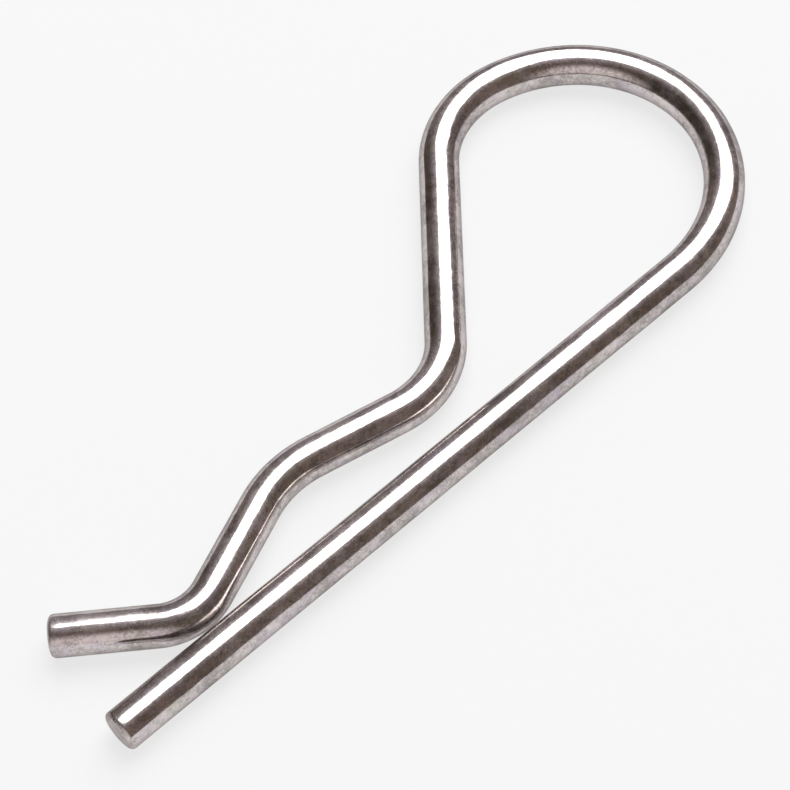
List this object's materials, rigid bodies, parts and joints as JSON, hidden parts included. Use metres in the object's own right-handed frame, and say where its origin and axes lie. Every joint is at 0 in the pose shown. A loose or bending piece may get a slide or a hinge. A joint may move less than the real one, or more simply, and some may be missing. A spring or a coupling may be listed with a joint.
{
  "type": "hitch pin",
  "caption": "Round-wire spring clip bent flat: a straight leg for a shaft's cross hole, a pull eye and a waved leg that grips the shaft.",
  "frame": {"origin": "on the straight leg's axis at the middle of the seat, where the axis of the held shaft crosses it", "axes": "+X along the straight leg from its cut end towards the eye, +Y towards the curved leg, +Z square to the flat clip and up as it lies on its side"},
  "size_m": [0.0974, 0.0383, 0.0044],
  "materials": {
    "spring_wire": "bright stainless spring wire with faint lengthwise drawing marks"
  },
  "bodies": {
    "root": {"hitch_pin": "spring_wire"}
  },
  "joints": []
}
